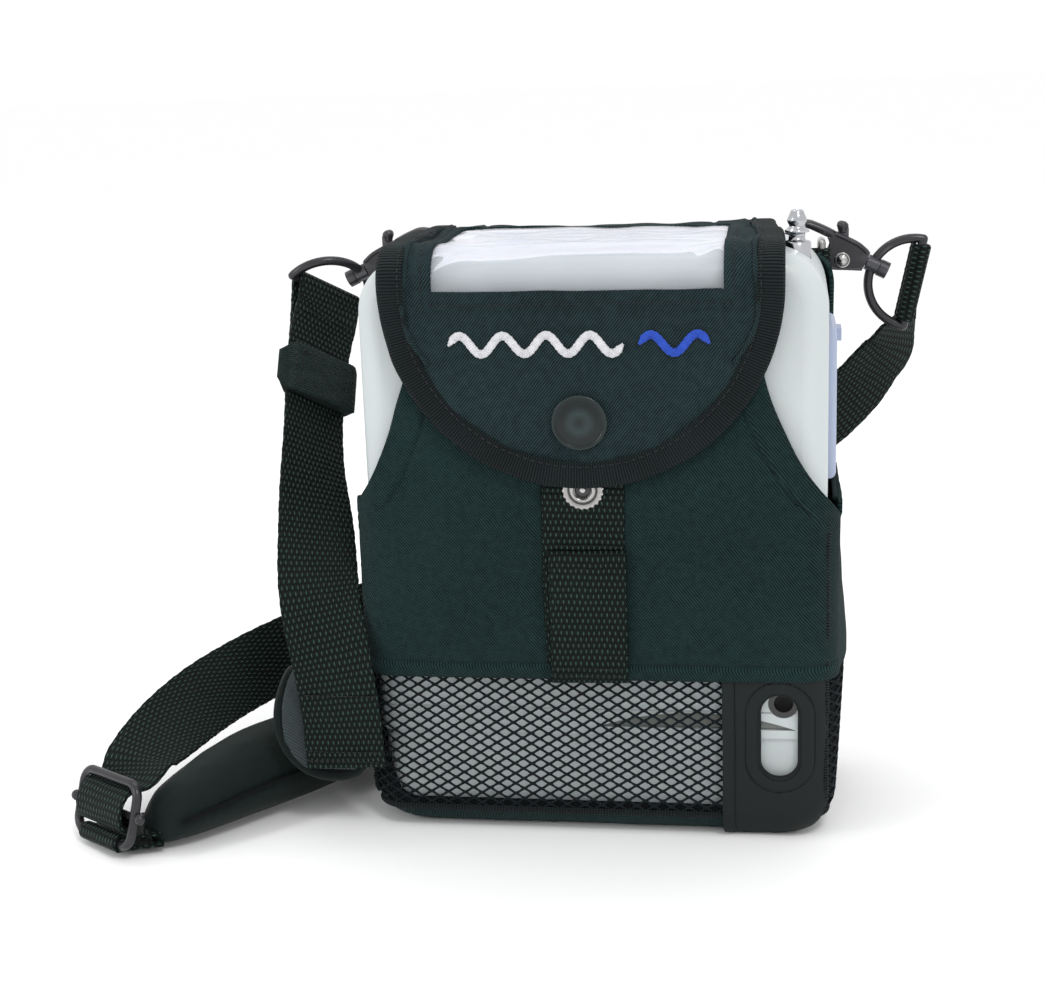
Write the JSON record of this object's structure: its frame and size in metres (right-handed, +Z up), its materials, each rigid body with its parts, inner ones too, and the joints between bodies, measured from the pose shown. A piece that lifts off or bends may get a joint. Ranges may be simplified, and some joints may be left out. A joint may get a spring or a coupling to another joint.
{
  "type": "oxygen concentrator",
  "caption": "Portable oxygen concentrator in a black fabric carry bag with a round-ended flap, clear top window, mesh base, side port opening and a webbing shoulder strap.",
  "frame": {"origin": "on the floor under the middle of the concentrator's underside", "axes": "+Z up; -Y is the front, with the flap's snap; +X is the side with the power port, the air intake and the cannula nozzle"},
  "size_m": [0.2953, 0.1478, 0.2036],
  "materials": {
    "silicone": "translucent silicone tube",
    "keypad_blue": "satin silicone key",
    "bag_fabric": "fine woven nylon, matte",
    "bag_mesh": "open warp-knit mesh",
    "housing_white": "satin moulded plastic",
    "cell_wrap": "shrink wrap",
    "contact_metal": "plated contact block",
    "latch_grey": "dark grey moulded plastic",
    "nozzle_metal": "bright turned metal",
    "screw_steel": "zinc-plated",
    "inner_plastic": "glass-filled nylon",
    "cast_aluminium": "die-cast",
    "nickel": "bright nickel plate",
    "jack_black": "black moulded socket",
    "circuit_board": "solder-masked laminate",
    "display_glass": "dark window",
    "fan_black": "moulded",
    "clear_vinyl": "clear flexible vinyl, glossy",
    "webbing": "woven polypropylene webbing",
    "gunmetal": "black-nickel plate, glossy",
    "filter_foam": "open-cell foam",
    "grille_blue": "pale blue-grey moulded plastic",
    "lcd": "reflective display",
    "rotor_steel": "turned steel",
    "copper_winding": "enamelled wire on laminations",
    "patch_vinyl": "smooth coated fabric",
    "mount_rubber": "moulded rubber",
    "pad_neoprene": "jersey-faced foam with grey lining",
    "column_aluminium": "drawn tube",
    "keeper_fabric": "hook-and-loop tape"
  },
  "bodies": {
    "root": {"air_tubes": "silicone", "bag_back_panel": "bag_fabric", "bag_bottom": "bag_fabric", "bag_front_mesh": "bag_mesh", "bag_front_panel": "bag_fabric", "bag_left_side": "bag_fabric", "bag_right_side": "bag_fabric", "bag_side_meshes": "bag_mesh", "battery_case": "housing_white", "battery_cells": "cell_wrap", "battery_contacts": "contact_metal", "cannula_nozzle": "nozzle_metal", "case_screws": "screw_steel", "column_manifolds": "inner_plastic", "compressor_housing": "cast_aluminium", "compressor_tray": "inner_plastic", "cylinder_heads": "cast_aluminium", "dc_jack": "jack_black", "display_board": "circuit_board", "display_lens": "display_glass", "fan_frame": "fan_black", "front_shell": "housing_white", "front_webbing": "webbing", "intake_filter": "filter_foam", "intake_grille": "grille_blue", "lcd_module": "lcd", "main_board": "circuit_board", "motor_stator": "copper_winding", "port_patch": "patch_vinyl", "product_tank": "cast_aluminium", "rear_shell": "housing_white", "ring_band": "webbing", "rubber_mounts": "mount_rubber", "shoulder_pad": "pad_neoprene", "sieve_columns": "column_aluminium", "snap_studs": "nickel", "solenoid_valves": "inner_plastic", "strap_left": "webbing", "strap_right": "webbing", "strap_rings": "gunmetal", "strap_slider": "gunmetal", "swivel_pins": "gunmetal", "valve_block": "cast_aluminium"},
    "flap": {"bag_flap": "bag_fabric", "flap_window": "clear_vinyl", "snap_cap": "gunmetal"},
    "power_key": {"power_button": "keypad_blue"},
    "minus_key": {"minus_button": "keypad_blue"},
    "plus_key": {"plus_button": "keypad_blue"},
    "alarm_key": {"alarm_button": "keypad_blue"},
    "latch": {"battery_latch": "latch_grey"},
    "rotor": {"motor_rotor": "rotor_steel"},
    "fan": {"fan_impeller": "fan_black"},
    "hook_left": {"hook_left": "gunmetal"},
    "hook_right": {"hook_right": "gunmetal"},
    "gate_left": {"gate_left": "gunmetal"},
    "gate_right": {"gate_right": "gunmetal"},
    "d_ring_left": {"d_ring_left": "nickel"},
    "d_ring_right": {"d_ring_right": "nickel"},
    "keeper": {"strap_keeper": "keeper_fabric"}
  },
  "joints": [
    {"name": "flap_open", "type": "hinge", "parent": "root", "child": "flap", "pos_m": [0, 0.0356, 0.1935], "axis": [-1, 0, 0], "range_deg": [0, 115]},
    {"name": "power_press", "type": "slide", "parent": "root", "child": "power_key", "axis": [0, 0, -1], "range_m": [0, 0.0008], "stiffness_N_per_m": 800, "springref_m": -0.0008},
    {"name": "minus_press", "type": "slide", "parent": "root", "child": "minus_key", "axis": [0, 0, -1], "range_m": [0, 0.0008], "stiffness_N_per_m": 800, "springref_m": -0.0008},
    {"name": "plus_press", "type": "slide", "parent": "root", "child": "plus_key", "axis": [0, 0, -1], "range_m": [0, 0.0008], "stiffness_N_per_m": 800, "springref_m": -0.0008},
    {"name": "alarm_press", "type": "slide", "parent": "root", "child": "alarm_key", "axis": [0, 0, -1], "range_m": [0, 0.0008], "stiffness_N_per_m": 800, "springref_m": -0.0008},
    {"name": "latch_press", "type": "slide", "parent": "root", "child": "latch", "axis": [0, 1, 0], "range_m": [0, 0.0025], "stiffness_N_per_m": 900, "springref_m": -0.001},
    {"name": "rotor_spin", "type": "hinge", "parent": "root", "child": "rotor", "pos_m": [-0.024, 0.014, 0.088], "axis": [0, 1, 0], "continuous": true},
    {"name": "fan_spin", "type": "hinge", "parent": "root", "child": "fan", "pos_m": [-0.064, 0, 0.15], "axis": [1, 0, 0], "continuous": true},
    {"name": "hook_left_swivel", "type": "hinge", "parent": "root", "child": "hook_left", "pos_m": [-0.0889, 0.0465, 0.1807], "axis": [0.9023, 0, 0.4311], "range_deg": [-6, 6]},
    {"name": "gate_left_open", "type": "hinge", "parent": "hook_left", "child": "gate_left", "pos_m": [-0.08075, 0.0465, 0.18149], "axis": [0, -1, 0], "range_deg": [0, 15], "stiffness_Nm_per_rad": 0.02, "springref_deg": -17.19},
    {"name": "d_ring_left_swing", "type": "hinge", "parent": "root", "child": "d_ring_left", "pos_m": [-0.07356, 0.0394, 0.1796], "axis": [0, 0, 1], "range_deg": [-3, 3]},
    {"name": "hook_right_swivel", "type": "hinge", "parent": "root", "child": "hook_right", "pos_m": [0.0889, 0.0465, 0.1807], "axis": [-0.9023, 0, 0.4311], "range_deg": [-6, 6]},
    {"name": "gate_right_open", "type": "hinge", "parent": "hook_right", "child": "gate_right", "pos_m": [0.08075, 0.0465, 0.18149], "axis": [0, 1, 0], "range_deg": [0, 15], "stiffness_Nm_per_rad": 0.02, "springref_deg": -17.19},
    {"name": "d_ring_right_swing", "type": "hinge", "parent": "root", "child": "d_ring_right", "pos_m": [0.07356, 0.0394, 0.1796], "axis": [0, 0, 1], "range_deg": [-3, 3]},
    {"name": "keeper_slide", "type": "slide", "parent": "root", "child": "keeper", "axis": [0.0389, -0.6026, -0.7971], "range_m": [-0.008, 0.018]}
  ]
}
